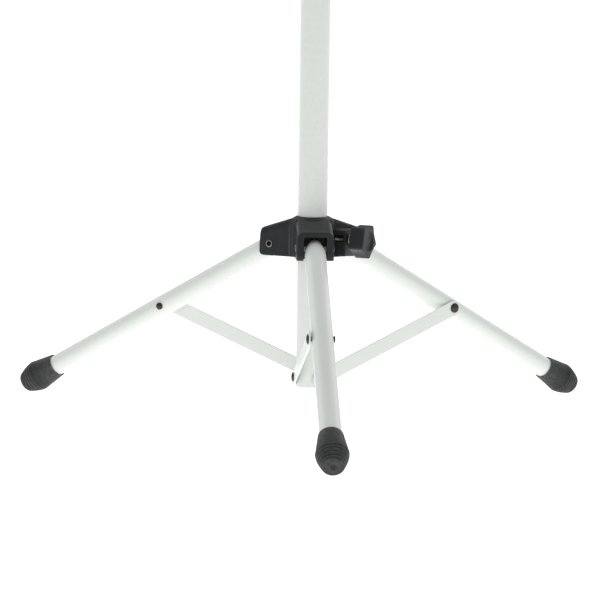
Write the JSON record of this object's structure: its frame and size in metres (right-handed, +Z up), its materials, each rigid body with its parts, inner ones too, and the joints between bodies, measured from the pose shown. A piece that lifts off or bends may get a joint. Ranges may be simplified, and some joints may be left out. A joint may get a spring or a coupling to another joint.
{
  "type": "trumpet stand",
  "caption": "Folding trumpet stand: tripod legs with riveted braces, a clamped white column and a telescoping post whose tapered peg carries the bell.",
  "frame": {"origin": "centre of the bounding box seen from above, on the floor that the three feet stand on", "axes": "+Z up along the column; -Y towards the front leg; +X to the right as seen from the front leg"},
  "size_m": [0.5036, 0.4384, 0.6794],
  "materials": {
    "white_coat": "satin white powder coat",
    "black_moulding": "satin moulded black plastic",
    "foot_rubber": "matt black rubber",
    "dark_rivet": "blackened steel",
    "zinc_steel": "zinc-plated steel",
    "clamp_brass": "machined brass",
    "bright_chrome": "bright chrome plate",
    "black_felt": "dense black felt"
  },
  "bodies": {
    "hub": {"hub": "black_moulding", "leg_pivot_1": "zinc_steel", "leg_pivot_2": "zinc_steel", "leg_pivot_3": "zinc_steel", "clamp_nut": "zinc_steel"},
    "column": {"column": "white_coat", "clutch_body": "black_moulding", "clutch_bush": "black_moulding", "clutch_nut": "zinc_steel"},
    "leg_1": {"leg_tube_1": "white_coat", "foot_1": "foot_rubber", "leg_rivet_1": "dark_rivet"},
    "brace_arm_1": {"brace_1": "white_coat", "column_rivet_1": "dark_rivet"},
    "leg_2": {"leg_tube_2": "white_coat", "foot_2": "foot_rubber", "leg_rivet_2": "dark_rivet"},
    "brace_arm_2": {"brace_2": "white_coat", "column_rivet_2": "dark_rivet"},
    "leg_3": {"leg_tube_3": "white_coat", "foot_3": "foot_rubber", "leg_rivet_3": "dark_rivet"},
    "brace_arm_3": {"brace_3": "white_coat", "column_rivet_3": "dark_rivet"},
    "clamp_pad": {"clamp_pad": "clamp_brass"},
    "clamp_knob": {"clamp_knob": "black_moulding", "clamp_screw": "zinc_steel"},
    "clutch_pad": {"clutch_pad": "clamp_brass"},
    "clutch_knob": {"clutch_knob": "black_moulding", "clutch_screw": "zinc_steel"},
    "tube_guide": {"guide_bush": "black_moulding"},
    "bell_post": {"inner_tube": "bright_chrome", "bell_flange": "black_moulding", "bell_pad": "black_felt", "bell_peg": "black_moulding", "peg_sleeve": "black_felt", "peg_bolt": "zinc_steel"}
  },
  "joints": [
    {"name": "leg_1_fold", "type": "hinge", "parent": "hub", "child": "leg_1", "pos_m": [0, 0.036, 0.14907], "axis": [1, 0, 0], "range_deg": [0, 60.6]},
    {"name": "brace_1_fold", "type": "hinge", "parent": "leg_1", "child": "brace_arm_1", "pos_m": [0, -0.07386, 0.08717], "axis": [-1, 0, 0], "range_deg": [0, 117.94]},
    {"name": "leg_2_fold", "type": "hinge", "parent": "hub", "child": "leg_2", "pos_m": [0.02875, 0.0858, 0.14907], "axis": [-0.5, 0.866, 0], "range_deg": [0, 60.6]},
    {"name": "brace_2_fold", "type": "hinge", "parent": "leg_2", "child": "brace_arm_2", "pos_m": [0.12389, 0.14073, 0.08717], "axis": [0.5, -0.866, 0], "range_deg": [0, 117.94]},
    {"name": "leg_3_fold", "type": "hinge", "parent": "hub", "child": "leg_3", "pos_m": [-0.02875, 0.0858, 0.14907], "axis": [-0.5, -0.866, 0], "range_deg": [0, 60.6]},
    {"name": "brace_3_fold", "type": "hinge", "parent": "leg_3", "child": "brace_arm_3", "pos_m": [-0.12389, 0.14073, 0.08717], "axis": [0.5, 0.866, 0], "range_deg": [0, 117.94]},
    {"name": "column_slide", "type": "slide", "parent": "hub", "child": "column", "axis": [0, 0, -1], "range_m": [0, 0.1607]},
    {"name": "clamp_pad_travel", "type": "slide", "parent": "hub", "child": "clamp_pad", "axis": [0.866, -0.5, 0], "range_m": [0, 0.00105]},
    {"name": "clamp_knob_turn", "type": "hinge", "parent": "clamp_pad", "child": "clamp_knob", "pos_m": [0.03464, 0.0492, 0.15467], "axis": [0.866, -0.5, 0], "range_deg": [0, 360]},
    {"name": "clutch_pad_travel", "type": "slide", "parent": "column", "child": "clutch_pad", "axis": [0.866, -0.5, 0], "range_m": [0, 0.00105]},
    {"name": "clutch_knob_turn", "type": "hinge", "parent": "clutch_pad", "child": "clutch_knob", "pos_m": [0.03464, 0.0492, 0.42407], "axis": [0.866, -0.5, 0], "range_deg": [0, 360]},
    {"name": "tube_height", "type": "slide", "parent": "column", "child": "tube_guide", "axis": [0, 0, 1], "range_m": [-0.044, 0.2]},
    {"name": "tube_swivel", "type": "hinge", "parent": "tube_guide", "child": "bell_post", "pos_m": [0, 0.0692, 0.44907], "axis": [0, 0, 1], "continuous": true}
  ],
  "couplings": [
    {"joint": "brace_1_fold", "follows": "leg_1_fold", "ratio": 1.946},
    {"joint": "leg_2_fold", "follows": "leg_1_fold", "ratio": 1},
    {"joint": "brace_2_fold", "follows": "leg_1_fold", "ratio": 1.946},
    {"joint": "leg_3_fold", "follows": "leg_1_fold", "ratio": 1},
    {"joint": "brace_3_fold", "follows": "leg_1_fold", "ratio": 1.946},
    {"joint": "column_slide", "follows": "leg_1_fold", "m_per_rad": 0.1518},
    {"joint": "clamp_pad_travel", "follows": "clamp_knob_turn", "m_per_rad": 0.000159},
    {"joint": "clutch_pad_travel", "follows": "clutch_knob_turn", "m_per_rad": 0.000159}
  ]
}
